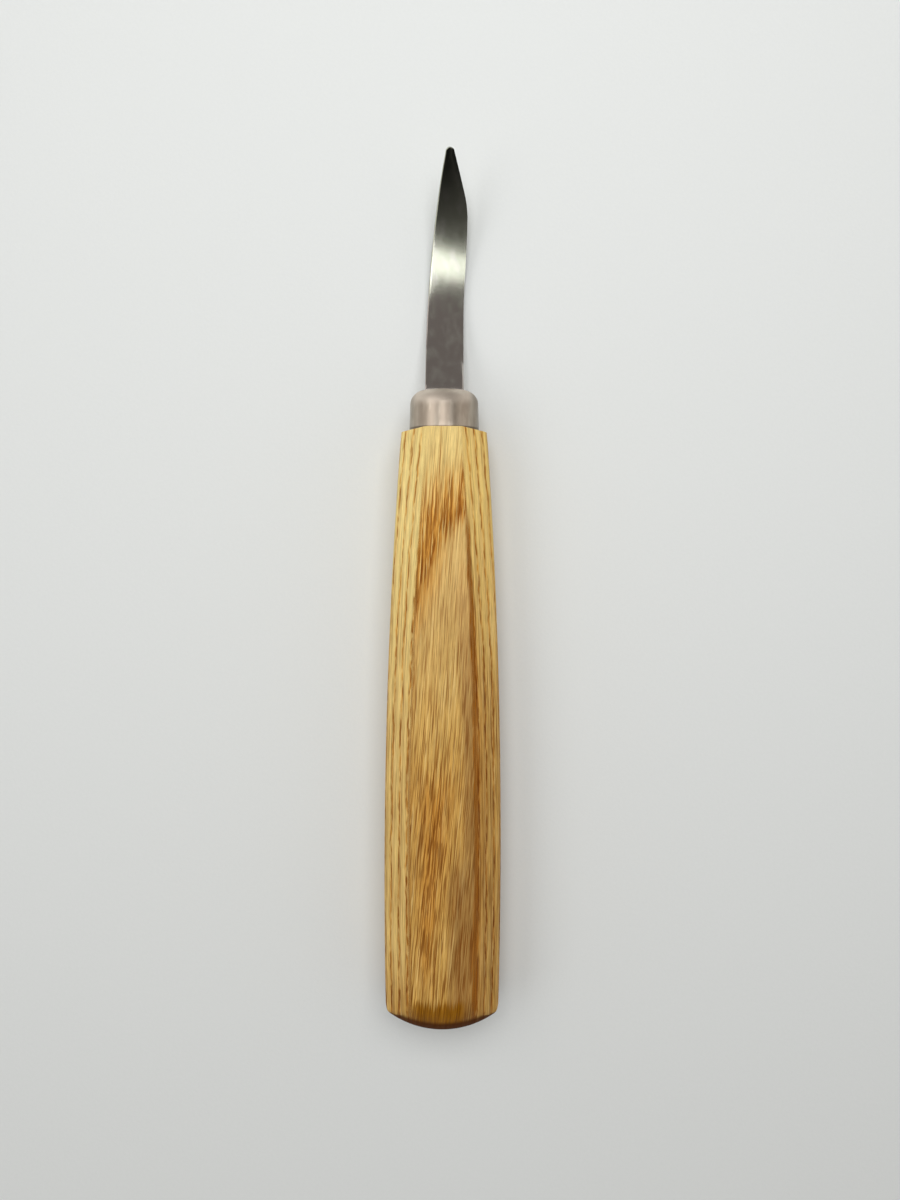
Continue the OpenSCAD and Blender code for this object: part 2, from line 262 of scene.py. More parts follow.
def handle_rings():
    """Rings from the butt along the outside to the shoulder, over the tenon and down the bore."""
    rings = []
    start_y = BUTT_Y + BUTT_START
    first = section_ring(half_width(start_y))
    out = first / np.linalg.norm(first, axis=1)[:, None]
    origin = np.array([0, start_y, 0])
    for b in np.linspace(math.pi / 2, 0, BUTT_RINGS + 1)[1:-1]:
        back = np.full(len(out), -math.sin(b))
        direction = np.stack([out[:, 0] * math.cos(b), back, out[:, 1] * math.cos(b)], 1)
        rings.append(origin + butt_ray(origin, direction)[:, None] * direction)

    def fall(px):
        """How far the shoulder has fallen back at a distance across from its middle."""
        return np.maximum(np.abs(px) - SHOULDER_FLAT / 2, 0) * math.tan(math.radians(SHOULDER_FALL))

    near, brink = SHOULDER_Y - FALL_START, SHOULDER_Y - EDGE_SOFT
    stations = list(np.linspace(start_y, near, BODY_STATIONS))
    stations += list(np.linspace(near, brink, SHOULDER_STATIONS)[1:])
    for y in stations:
        ring = section_ring(half_width(y))
        share = max(1 - (brink - y) / (FALL_START - EDGE_SOFT), 0)
        rings.append(np.stack([ring[:, 0], y - fall(ring[:, 0]) * share, ring[:, 1]], 1))
    edge = rings[-1]
    r = np.hypot(edge[:, 0], edge[:, 2])
    unit = np.stack([edge[:, 0] / r, edge[:, 2] / r], 1)

    def add(radius, y, falls=0.0):
        p = unit * np.asarray(radius).reshape(-1, 1)
        rings.append(np.stack([p[:, 0], y - fall(p[:, 0]) * falls, p[:, 1]], 1))

    for a in np.linspace(0, math.pi / 2, EDGE_STEPS + 1)[1:]:
        add(r - EDGE_SOFT * (1 - math.cos(a)), SHOULDER_Y - EDGE_SOFT * (1 - math.sin(a)), 1.0)
    for share in SHOULDER_SHARES:
        add(SEAT_R + (r - EDGE_SOFT - SEAT_R) * share, SHOULDER_Y, 1.0)
    tenon_r = FERRULE_D / 2 - SEAT_DEPTH
    add(SEAT_R, FOOT_Y)
    add((SEAT_R + tenon_r) / 2, FOOT_Y)
    add(tenon_r, FOOT_Y)
    front = (FERRULE_D - FERRULE_DRAFT) / 2 - FERRULE_RIM_R
    turn_y, nose_r = CAP_Y - FERRULE_RIM_R, FERRULE_RIM_R - SEAT_DEPTH
    for a in np.linspace(0, math.pi / 2, NOSE_STEPS + 1):
        add(front + nose_r * math.cos(a), turn_y + nose_r * math.sin(a))
    seat_y = CAP_Y - SEAT_DEPTH
    end_y = seat_y - TANG_LEN - BORE_ROOM
    for y in np.linspace(seat_y, end_y, BORE_STATIONS):
        add(BORE_R, y)
    point = BORE_R * (1 - BORE_POINT) / math.tan(math.radians(DRILL_HALF_ANGLE))
    add(BORE_R * BORE_POINT, end_y - point)
    return rings


def build_handle(material):
    rings = handle_rings()
    n = len(rings[0])
    verts = np.concatenate(rings)
    verts[:, 2] += AXIS_Z
    pole = len(verts)
    verts = np.concatenate([verts, [[0, BUTT_Y, AXIS_Z]]])
    fan = [(pole, j, (j + 1) % n) for j in range(n)]
    faces = flipped(ring_faces(len(rings), n))[1:] + fan
    handle = new_mesh("handle_fine", verts, faces, material)
    facing = np.empty(len(handle.data.vertices) * 3, dtype=np.float32)
    handle.data.vertices.foreach_get("normal", facing)
    at = verts[:, 1] - BUTT_Y
    # The butt's faces turned away from the lamps get the end grain's dark colour, also as painted shade
    end = ease((-facing[1::3] - END_GRAIN_FROM) / END_GRAIN_SPAN) * (at < BUTT_START)
    layer = handle.data.attributes.new("end_grain_and_shade", "FLOAT", "POINT")
    layer.data.foreach_set("value", end.astype(np.float32))
    return handle


# Ferrule
CUP_TURNS, RIM_STEPS = 192, 24
SIDE_SHARES = (0.04, 0.3, 0.65)
CAP_RADII = (3.0, 2.0, 1.0, 0.2)
FOOT_LIP, FOOT_LIP_TURN = 0.12, 0.3
SLOT_OVERSHOOT = 1.0
FERRULE_SHARP = math.radians(35)


def cup_outline(inset):
    """Points (radius, height) from the cup's foot to the middle of its cap, at a depth in its wall."""
    front = (FERRULE_D - FERRULE_DRAFT) / 2
    turn_y, r = FERRULE_LEN - FERRULE_RIM_R, FERRULE_RIM_R - inset
    turns = np.linspace(0, math.pi / 2, RIM_STEPS + 1)
    side = [(FERRULE_D / 2 - inset - FERRULE_DRAFT / 2 * t, turn_y * t) for t in SIDE_SHARES]
    rim = [(front - FERRULE_RIM_R + r * math.cos(a), turn_y + r * math.sin(a)) for a in turns]
    return side + rim + [(q, FERRULE_LEN - inset) for q in CAP_RADII]


def build_ferrule(material):
    outer, inner = cup_outline(0.0), cup_outline(FERRULE_WALL)
    foot = [
        (FERRULE_D / 2 - FERRULE_WALL, 0.0),
        (FERRULE_D / 2 - FOOT_LIP, 0.0),
        (FERRULE_D / 2 - FOOT_LIP * FOOT_LIP_TURN, FOOT_LIP * FOOT_LIP_TURN),
    ]
    profile = inner[::-1] + foot + outer
    turns = np.linspace(0, 2 * math.pi, CUP_TURNS, endpoint=False)
    verts = [(r * math.cos(t), FOOT_Y + y, AXIS_Z + r * math.sin(t)) for (r, y) in profile for t in turns]
    cup = new_mesh("ferrule_fine", verts, ring_faces(len(profile), CUP_TURNS), material)
    w, t = BLADE_W / 2 + SLOT_FIT, STEEL_T / 2 + SLOT_FIT
    y0, y1 = CAP_Y - FERRULE_RIM_R, CAP_Y + SLOT_OVERSHOOT
    box = [(x, y, AXIS_Z + z) for x in (-w, w) for y in (y0, y1) for z in (-t, t)]
    sides = [(0, 1, 3, 2), (4, 6, 7, 5), (0, 4, 5, 1), (2, 3, 7, 6), (0, 2, 6, 4), (1, 5, 7, 3)]
    cutter = new_mesh("slot_cutter", box, sides, material)
    cut = cup.modifiers.new("slot", "BOOLEAN")
    cut.operation, cut.solver, cut.object = "DIFFERENCE", "EXACT", cutter
    graph = bpy.context.evaluated_depsgraph_get()
    done = bpy.data.meshes.new_from_object(cup.evaluated_get(graph))
    cup.modifiers.clear()
    cup.data = done
    bpy.data.objects.remove(cutter)
    done.polygons.foreach_set("use_smooth", [True] * len(done.polygons))
    done.set_sharp_from_angle(angle=FERRULE_SHARP)
    return cup


# Blade
BLADE_STEPS, NECK_STEPS, TIP_STEPS = 230, 16, 16
FACE_STEPS, BEVEL_STEPS, CORNER_STEPS = 22, 3, 4
CROWN = 0.1
# The corner and the bevel are no wider than the blade's width divided by these
CORNER_SHARE, BEVEL_SHARE = 8, 3
TIP_TURN = math.radians(84)
BLADE_SHARP = math.radians(28)


def blade_path(s):
    """How far forward and up the blade's middle is at a length along it, and how steep."""
    if s <= 0:
        return s, 0.0, 0.0
    if s < NECK_LEN:
        a = s / NECK_R
        return NECK_R * math.sin(a), NECK_R * (math.cos(a) - 1), -a
    a = (s - NECK_LEN) / BEND_R - DIP_ANGLE
    return (NECK_R + BEND_R) * math.sin(DIP_ANGLE) + BEND_R * math.sin(a), BEND_R * (1 - math.cos(a)) - DIP, a


def sag(r, d):
    """How far an arc has left its tangent."""
    return r - math.sqrt(r * r - max(d, 0) ** 2)


def spine_x(s):
    return sag(SPINE_R, s - SPINE_STRAIGHT) - BLADE_W / 2


def edge_x(s):
    full = BLADE_W / 2 + SWELL * float(ease((s - SWELL_FROM) / (SWELL_TO - SWELL_FROM)))
    bow = min(s - SWELL_TO, BELLY_R * math.sin(TIP_TAPER))
    return full - sag(BELLY_R, bow) - max(s - SWELL_TO - bow, 0) * math.tan(TIP_TAPER)


def rounded_back(x, half, b):
    """The rounded corner between a narrow side at x and a face at a half thickness."""
    turns = np.linspace(0, math.pi / 2, CORNER_STEPS + 1)
    return [(x + b * (1 - math.cos(a)), half - b * (1 - math.sin(a))) for a in turns]


def placed(s, upper):
    """The whole ring at a length along the blade, from the upper half of its section."""
    shift, rise, slope = blade_path(s)
    ring = upper + [(x, -h) for x, h in upper[::-1]]
    return [(x, CAP_Y + shift - h * math.sin(slope), AXIS_Z + rise + h * math.cos(slope)) for x, h in ring]


def bar_ring(s, w, t):
    """A flat bar with rounded corners."""
    left = rounded_back(-w / 2, t / 2, CORNER_BEVEL)
    right = [(-x, h) for x, h in left[::-1]]
    steps = FACE_STEPS + BEVEL_STEPS - CORNER_STEPS
    x0, x1 = left[-1][0], right[0][0]
    face = [(x0 + (x1 - x0) * i / steps, t / 2) for i in range(1, steps)]
    return placed(s, left + face + right)


def blade_ring(s, spine, edge):
    """The ground section from spine to edge: a rounded back, a crowned face and a narrow bevel."""
    ground = float(ease((s - RICASSO_LEN) / PLUNGE_LEN))
    width = edge - spine
    bevel = CORNER_BEVEL + (min(BEVEL_W, width / BEVEL_SHARE) - CORNER_BEVEL) * ground**2
    back = BEVEL_T + (STEEL_T - BEVEL_T) * width / BLADE_W
    heel = (STEEL_T + (BEVEL_T - STEEL_T) * ground) / 2
    last = (STEEL_T - 2 * CORNER_BEVEL + (EDGE_T - STEEL_T + 2 * CORNER_BEVEL) * ground) / 2
    left = rounded_back(spine, back / 2, min(CORNER_BEVEL, width / CORNER_SHARE))
    x0, h0 = left[-1]
    x1 = edge - bevel
    crown = CROWN * ground * width / BLADE_W
    face = []
    for i in range(1, FACE_STEPS + 1):
        bulge = crown * 4 * i * (FACE_STEPS - i) / FACE_STEPS**2
        face.append((x0 + (x1 - x0) * i / FACE_STEPS, h0 + (heel - h0) * i / FACE_STEPS + bulge))
    steps = range(1, BEVEL_STEPS + 1)
    rest = [(x1 + bevel * i / BEVEL_STEPS, heel + (last - heel) * i / BEVEL_STEPS) for i in steps]
    return placed(s, left + face + rest)


def build_blade(material):
    rings = [
        bar_ring(-SEAT_DEPTH - TANG_LEN, TANG_END_W, TANG_END_T),
        bar_ring(-SEAT_DEPTH, TANG_W, TANG_T),
        bar_ring(-SEAT_DEPTH, BLADE_W, STEEL_T),
    ]
    last = BLADE_LEN - TIP_ROUND
    places = list(np.linspace(0, NECK_LEN, NECK_STEPS)) + list(np.linspace(NECK_LEN, last, BLADE_STEPS)[1:])
    rings += [blade_ring(s, spine_x(s), edge_x(s)) for s in places]
    mid, half = (spine_x(last) + edge_x(last)) / 2, (edge_x(last) - spine_x(last)) / 2
    for i in range(1, TIP_STEPS + 1):
        a = TIP_TURN * i / TIP_STEPS
        reach = half * math.cos(a)
        rings.append(blade_ring(last + TIP_ROUND * math.sin(a), mid - reach, mid + reach))
    verts = [p for ring in rings for p in ring]
    blade = new_mesh("blade_fine", verts, ring_faces(len(rings), len(rings[0])), material)
    blade.data.set_sharp_from_angle(angle=BLADE_SHARP)
    return blade


# Materials
class Wire:
    """A shader value that can be added, scaled and shaped like a number."""

    def __init__(self, tree, socket):
        self.tree, self.socket = tree, socket

    def math(self, operation, *others):
        node = self.tree.nodes.new("ShaderNodeMath")
        node.operation = operation
        for i, value in enumerate((self, *others)):
            if isinstance(value, Wire):
                self.tree.links.new(value.socket, node.inputs[i])
            else:
                node.inputs[i].default_value = value
        return Wire(self.tree, node.outputs[0])

    def __add__(self, other):
        return self.math("ADD", other)

    def __sub__(self, other):
        return self.math("SUBTRACT", other)

    def __rsub__(self, other):
        return self.math("MULTIPLY_ADD", -1.0, other)

    def __mul__(self, other):
        return self.math("MULTIPLY", other)

    __radd__, __rmul__ = __add__, __mul__

    def __abs__(self):
        return self.math("ABSOLUTE")

    def at_least(self, limit):
        return self.math("MAXIMUM", limit)

    def at_most(self, limit):
        return self.math("MINIMUM", limit)

    def shift(self, reach):
        """A noise value, which lies round 0.5, as a shift to either side of 0."""
        return (self - 0.5) * reach

    def step(self, low, high):
        """Rises smoothly from 0 to 1 between two values, or falls where the first is the greater."""
        node = self.tree.nodes.new("ShaderNodeMapRange")
        node.interpolation_type = "SMOOTHSTEP"
        self.tree.links.new(self.socket, node.inputs["Value"])
        node.inputs["From Min"].default_value = low
        node.inputs["From Max"].default_value = high
        return Wire(self.tree, node.outputs["Result"])

    def bell(self, centre, width):
        """A smooth hump, 1 at its centre."""
        off = (self - centre) * (1 / width)
        return (off * off * -1.0).math("EXPONENT")


class Paint:
    """The nodes of one material, with places on the object in millimetres."""

    def __init__(self, name):
        self.material = bpy.data.materials.new(name)
        self.material.use_nodes = True
        self.tree = self.material.node_tree
        self.shader = self.tree.nodes["Principled BSDF"]
        place = self.tree.nodes.new("ShaderNodeTexCoord")
        split = self.tree.nodes.new("ShaderNodeSeparateXYZ")
        self.tree.links.new(place.outputs["Object"], split.inputs[0])
        self.x, self.y, self.z = (Wire(self.tree, out) * (1 / MM) for out in split.outputs)

    def noise(self, x, y, z, detail=2.0, roughness=0.5):
        join = self.tree.nodes.new("ShaderNodeCombineXYZ")
        for value, socket in zip((x, y, z), join.inputs):
            self.tree.links.new(value.socket, socket)
        node = self.tree.nodes.new("ShaderNodeTexNoise")
        self.tree.links.new(join.outputs[0], node.inputs["Vector"])
        node.inputs["Scale"].default_value = 1.0
        node.inputs["Detail"].default_value = detail
        node.inputs["Roughness"].default_value = roughness
        return Wire(self.tree, node.outputs["Fac"])

    def speckle(self, across, along, detail=2.0, roughness=0.5):
        """Noise of so many waves in a millimetre, across the object and along it."""
        return self.noise(self.x * across, self.y * along, self.z * across, detail, roughness)

    def mix(self, amount, first, second):
        node = self.tree.nodes.new("ShaderNodeMix")
        node.data_type = "RGBA"
        self.tree.links.new(amount.socket, node.inputs["Factor"])
        for value, socket in zip((first, second), [s for s in node.inputs if s.type == "RGBA"]):
            if isinstance(value, Wire):
                self.tree.links.new(value.socket, socket)
            else:
                socket.default_value = (*linear(value), 1)
        return Wire(self.tree, [s for s in node.outputs if s.type == "RGBA"][0])

    def layered(self, colour, *layers):
        """A colour with others laid over it in turn, each by its amount."""
        for amount, over in layers:
            colour = self.mix(amount, colour, over)
        return colour

    def shade(self, colour, amount):
        """A colour made lighter or darker by a value round 1."""
        node = self.tree.nodes.new("ShaderNodeVectorMath")
        node.operation = "SCALE"
        self.tree.links.new(colour.socket, node.inputs[0])
        self.tree.links.new(amount.socket, node.inputs["Scale"])
        return Wire(self.tree, node.outputs[0])

    def attribute(self, name):
        node = self.tree.nodes.new("ShaderNodeAttribute")
        node.attribute_name = name
        return Wire(self.tree, node.outputs["Fac"])

    def join(self, sockets):
        for name, value in sockets.items():
            socket = self.shader.inputs[name]
            if isinstance(value, Wire):
                self.tree.links.new(value.socket, socket)
            else:
                socket.default_value = value

    def bump(self, height, depth_mm):
        node = self.tree.nodes.new("ShaderNodeBump")
        node.inputs["Distance"].default_value = depth_mm * MM
        self.tree.links.new(height.socket, node.inputs["Height"])
        self.tree.links.new(node.outputs[0], self.shader.inputs["Normal"])


def linear(colour):
    """Linear values of a colour given as it looks on a screen, 0 to 255."""
    return [(c / 255 / 12.92) if c < 10.3 else ((c / 255 + 0.055) / 1.055) ** 2.4 for c in colour]


# Ash: colours as they look on a screen; the amber ones towards the butt are also darker as painted shade, and
# the flanks' pale ones are lighter as painted light
PALE_TOP, PALE_LEFT_LIT, PALE_RIGHT_LIT, PALE_AMBER_SHADED = (222, 195, 126), (238, 215, 141), (233, 201, 120), (212, 167, 86)
PINK, PINK_AMBER_SHADED = (208, 168, 104), (158, 118, 62)
BROWN, BROWN_AMBER_SHADED = (210, 147, 56), (188, 126, 44)
DARK, DARK_AMBER_SHADED = (134, 76, 16), (116, 64, 10)
SHINE, SHINE_AMBER_SHADED = (242, 212, 136), (226, 184, 106)
GLEAM = (240, 211, 142)
RIB_DARK, RIB_BROWN = (116, 62, 4), (150, 90, 18)
STAIN_DARK, STAIN_BROWN = (122, 73, 2), (150, 97, 6)
END_GRAIN_AND_SHADE = (86, 42, 0)

# Ash: waves in a millimetre across and along the grain, seed, detail and roughness of each pattern
GRAIN = {
    "wander": (0.5, 0.08, 3, 2, 0.5),
    "bands": (0.9, 0.03, 20, 2, 0.5),
    "streak": (2.3, 0.08, 0, 2, 0.6),
    "thin": (3.6, 0.08, 60, 1, 0.5),
    "hair": (5.2, 0.13, 80, 1, 0.5),
    "fibre": (5, 0.3, 7, 3, 0.65),
    "dashes": (2.0, 0.45, 9, 1, 0.5),
    "pores": (2.8, 0.18, 40, 2, 0.6),
}

# Ash: where each mark begins and where it is full, in millimetres
UPPER_Z = (7, 9)
RIGHT_X = (-0.5, 0.5)
FLANK_OUT = (-0.15, 0.25)
BUTT_GRAIN_Y, BUTT_GRAIN_OUT = (BUTT_Y + 11, BUTT_Y + 7), (4.9, 4.2)
HAZE_X, HAZE_Y = (3, -2), (20, 8)
BLUSH_Y = (-26, 4)
SECOND_RUN_Y, SECOND_FRONT_Y, SECOND_BACK_Y = (-34, -68), (-29, -40), (-78, -66)
DUSK_X, DUSK_Y = (0.2, 2.6), (-44, -60)
RIB_Y, RIB_GLOW_Y, RIB_SIDE_Y, THIN_RIB_Y = (18, 11), (10, -4), (10, -20), (10, 0)
AMBER_AND_SHADE_Y, LEFT_LIT_Y = (24, -42), (-80, -66)
STAIN_X, STAIN_Y = (6.0, 3.6), (-75.6, -77.8)

# Ash: the grain's lean to the side, the rings' width and dip, and the dark places on the upper facet
LEAN_Y, LEAN, LEAN_MORE_Y, LEAN_MORE = -20, 0.06, -25, 0.02
RING, RING_DIP_Y, RING_DIP, RING_DIP_LEAST, RING_DIP_SOFT = 1.5, 2.5, 0.03, -0.35, 0.2
FIRST_LOW_Y, FIRST_LEFT_RISE, FIRST_HIGH_Y, FIRST_HIGH_LEAN = 10.3, 2.3, 21, 0.5
FIRST_RISE, FIRST_FADE, BRINK_FADE = (-2.2, 2.4), (7, -6), (5.5, 1)
HAZE_RISE, BLUSH_FADE = (-12, 0), (0.2, -1.5)
SECOND_SHIFT, SECOND_NARROWING, SECOND_W = 1.4, 0.6, 3.4

# Ash: the dark porous part and the late part of a ring, as shares of its width
LINE_RISE, LINE_FALL, LATE_RISE = (0, 0.08), (0.42, 0.12), (0.55, 0.98)

# Ash: how far outwards of the arris each line along it lies, and how wide it is
RIB_OUT, RIB_FADE = 0.15, (0.7, 0.25)
RIB_GLOW, RIB_SIDE, THIN_RIB = (-1.2, 1.1), (1.0, 0.8), (0.0, 0.42)

# Ash: so far apart that the two sides share no pattern
SIDES_APART = 20
WOOD_SPECULAR, WOOD_RELIEF = 0.12, 0.03


def ash_wood():
    """Ring-porous wood: rings nearly level with the rest face, pores and fibres along the handle."""
    paint = Paint("ash")
    x, y, z = paint.x, paint.y, paint.z
    belly = y - BELLY_Y
    # How far outwards a place is of the arris between the upper and the slanted facet
    out = abs(x) + belly * belly * (0.5 / SIDE_R) + (FACET_W - BELLY_W / 2)
    hand = x.math("SIGN")
    right = x.step(*RIGHT_X)
    upper = z.step(*UPPER_Z)
    flank = out.step(*FLANK_OUT)
    top = (1 - flank) * upper

    # Across the grain: from side to side on the level facets, and outwards from the arris on the others
    lean = x - (y - LEAN_Y) * LEAN - (y - LEAN_MORE_Y).at_most(0.0) * LEAN_MORE
    across = lean + (out + hand * SIDES_APART - lean) * flank
    at_butt = y.step(*BUTT_GRAIN_Y) * out.step(*BUTT_GRAIN_OUT) * upper
    level = z + (HANDLE_T - out.at_least(0.0) - z) * at_butt
    depth = HANDLE_T - level

    def grain(f, g, seed, detail, roughness):
        return paint.noise(across * f + seed, y * g, level * f, detail, roughness)

    pattern = {name: grain(*values) for name, values in GRAIN.items()}
    wander, bands, streak = pattern["wander"], pattern["bands"], pattern["streak"]
    thin, hair, dashes = pattern["thin"], pattern["hair"], pattern["dashes"]
    fibre = pattern["fibre"].step(0.25, 0.75)
    pores = pattern["pores"].step(0.47, 0.56)
    wobble = paint.noise(hand * 9 + 4, y * 0.3, depth * 0.4, 1)
    cloud = paint.noise(x * 0.25, y * 0.05, z * 0.25 + 7, 2)

    # Rings where the slanted facets, the sides and the lower facet cut them
    slope = ((y - RING_DIP_Y) * RING_DIP).math("SMOOTH_MAX", RING_DIP_LEAST, RING_DIP_SOFT)
    waves = paint.speckle(0.2, 0.03, 1).shift(0.5)
    phase = ((depth + slope + waves + wander.shift(0.4) + wobble.shift(0.6)) * (1 / RING)).math("FRACT")
    broken = dashes.step(0.36, 0.52) * 0.65 + 0.35
    lines = phase.step(*LINE_RISE) * phase.step(*LINE_FALL) * broken * (1 - top)
    late = phase.step(*LATE_RISE) * (1 - top)

    # The first of two dark places where the upper facet lies along a ring, with its surroundings
    low_end = x.at_least(0.0) + x.at_most(0.0) * FIRST_LEFT_RISE + FIRST_LOW_Y
    above = y - low_end + streak.shift(5) + thin.shift(5) + fibre.shift(2)
    fading = y - x * FIRST_HIGH_LEAN - FIRST_HIGH_Y + streak.shift(12) + thin.shift(16)
    first = above.step(*FIRST_RISE) * fading.step(*FIRST_FADE) * top
    brink = first * above.step(*BRINK_FADE)
    haze = above.step(*HAZE_RISE) * (1 - first) * x.step(*HAZE_X) * y.step(*HAZE_Y) * top
    blush = above.step(*BLUSH_FADE) * y.step(*BLUSH_Y) * top

    # The second, which moves to the left and narrows towards the butt, and the duller wood beside it
    run = y.step(*SECOND_RUN_Y)
    second_x = x + run * SECOND_SHIFT + SECOND_SHIFT + wander.shift(2)
    second = (second_x * (1 - run * SECOND_NARROWING).math("POWER", -1.0)).bell(0, SECOND_W)
    second = second * (y + streak.shift(30)).step(*SECOND_FRONT_Y) * y.step(*SECOND_BACK_Y) * top
    dusk = (x + streak.shift(4)).step(*DUSK_X) * (y + cloud.shift(20)).step(*DUSK_Y) * top

    # Dark lines along the arrises
    sway = paint.noise(y * 0.05 + 5, y * 0.05, hand * 3, 1).shift(0.8)
    rough = streak.shift(0.7) + hair.shift(0.8)
    rib = abs(out - sway + rough - RIB_OUT).step(*RIB_FADE) * right * y.step(*RIB_Y) * upper
    rib_glow = (out - sway).bell(*RIB_GLOW) * right * y.step(*RIB_GLOW_Y) * upper
    rib_side = (out - sway).bell(*RIB_SIDE) * right * y.step(*RIB_SIDE_Y) * upper
    thin_rib = (out + sway).bell(*THIN_RIB) * (1 - right) * y.step(*THIN_RIB_Y) * dashes.step(0.3, 0.6) * upper

    # Stain along the butt's rim, and end grain on the butt, darker also as painted shade
    stain = (y + streak.shift(5) + hair.shift(4)).step(*STAIN_Y)
    stain = stain * (abs(x + 0.5) + streak.shift(2)).step(*STAIN_X) * 0.92
    end = paint.attribute("end_grain_and_shade")

    # How much of each colour shows
    # Amber towards the butt, darker there partly as painted shade; less of it on the left flank near the butt,
    # as painted light from the left
    amber_and_shade = (y + cloud.shift(26)).step(*AMBER_AND_SHADE_Y) * (1 - (1 - right) * flank * y.step(*LEFT_LIT_Y) * 0.5)
    pinkish = (late * 0.5 + blush * 0.6 + amber_and_shade * 0.3 + rib_glow + dusk * 0.8).at_most(1.0)
    gleam = thin.step(0.55, 0.68) * (1 - rib_glow) * (1 - dusk * 0.7) * 0.4
    brownish = (lines * 0.9 + first * 0.9 + haze * 0.6 + second * 0.75 + rib_side * 0.4).at_most(1.0)
    in_pores = (lines * 0.75 + first * 0.66 + second * 0.5 + amber_and_shade * 0.15) * pores
    in_rings = in_pores + brink * 0.42 + lines * amber_and_shade * 0.3
    dark_thin = thin.step(0.43, 0.33)
    in_thin = dark_thin * (amber_and_shade * 0.4 + first * 0.35 + haze * 0.3 + 0.3).at_most(0.75)
    dark_hair = hair.step(0.46, 0.36) * (1 - flank * 0.5)
    in_hair = dark_hair * (amber_and_shade * 0.4 + first * 0.4 + second * 0.2 + 0.3).at_most(0.8)
    shiny = hair.step(0.56, 0.66) * (first * 0.25 + 0.35) * (1 - dusk * 0.6)
    ribs = (rib + thin_rib * 0.75) * (pores * 0.3 + 0.7)
    strand = hair.step(0.4, 0.6)

    # Painted light: the flanks are painted lighter than the upper facet, the left one most, as if lit from the
    # left
    pale = paint.mix(flank, PALE_TOP, paint.mix(right, PALE_LEFT_LIT, PALE_RIGHT_LIT))
    dark = paint.mix(amber_and_shade, DARK, DARK_AMBER_SHADED)
    colour = paint.layered(
        paint.mix(amber_and_shade, pale, PALE_AMBER_SHADED),
        (pinkish, paint.mix(amber_and_shade, PINK, PINK_AMBER_SHADED)),
        (gleam, GLEAM),
        (brownish, paint.mix(amber_and_shade, BROWN, BROWN_AMBER_SHADED)),
        (in_rings, dark),
        (in_thin, dark),
        (in_hair, dark),
        (shiny, paint.mix(amber_and_shade, SHINE, SHINE_AMBER_SHADED)),
        (ribs, paint.mix(strand, RIB_DARK, RIB_BROWN)),
        (stain, paint.mix(strand, STAIN_DARK, STAIN_BROWN)),
        (end * 0.94, END_GRAIN_AND_SHADE),
    )
    paint.join({
        "Base Color": paint.shade(colour, fibre * 0.3 + bands * 0.4 + 0.65),
        "Roughness": fibre * 0.12 + pores * 0.1 + end * 0.3 + 0.46,
        "Specular IOR Level": WOOD_SPECULAR,
    })
    paint.bump(fibre * 0.3 - pores * (lines + first + second) * 0.8 - dark_thin * 0.4, WOOD_RELIEF)
    return paint.material


# Steel: the greenish tint towards the tip is a painted reflection colour
STEEL_ROOT, STEEL_TIP_REFLECTION, STEEL_RUBBED = (184, 176, 171), (190, 193, 177), (206, 204, 196)
STEEL_TIP_REFLECTION_Y, STEEL_BRIGHT_Y = (54, 64), (70, 78)
STEEL_RELIEF = 0.004


def polished_steel():
    """Ground and polished blade steel, with faint grinding lines across the blade, and a greenish tint towards
    the tip as a painted reflection.
    """
    paint = Paint("blade_steel")
    x, y, z = paint.x, paint.y, paint.z
    lines = paint.noise(x * 0.6 + y * 0.3, y * 7 - x * 1.5, z * 7, 3, 0.6)
    smear = paint.speckle(0.5, 0.25)
    tip_reflection_tint = (y + smear.shift(12)).step(*STEEL_TIP_REFLECTION_Y)
    rubbed = smear.step(0.45, 0.7) * 0.6
    paint.join({
        "Base Color": paint.layered(STEEL_ROOT, (tip_reflection_tint, STEEL_TIP_REFLECTION), (rubbed, STEEL_RUBBED)),
        "Metallic": 1.0,
        "Roughness": smear * 0.1 + lines * 0.06 + y.step(*STEEL_BRIGHT_Y) * -0.09 + 0.14,
    })
    paint.bump(lines, STEEL_RELIEF)
    return paint.material


# Ferrule colours: the rim's light colour is a painted highlight; the sides', the right side's and the foot's
# dark colours are painted shade
NICKEL, NICKEL_WORN, NICKEL_RIM_HIGHLIGHT = (186, 172, 156), (202, 190, 174), (234, 222, 208)
NICKEL_SIDE_SHADE, NICKEL_RIGHT_SHADE, NICKEL_JOINT_SHADE = (126, 117, 104), (120, 110, 98), (84, 70, 52)
NICKEL_RIM_HIGHLIGHT_Y, JOINT_SHADE_Y = (CAP_Y - 3.6, CAP_Y - 1.6), (SHOULDER_Y + 0.4, SHOULDER_Y + 0.1)
NICKEL_SIDE_SHADE_X, NICKEL_RIGHT_SHADE_X = (5.0, 6.7), (4.4, 5.8)
NICKEL_RELIEF = 0.025


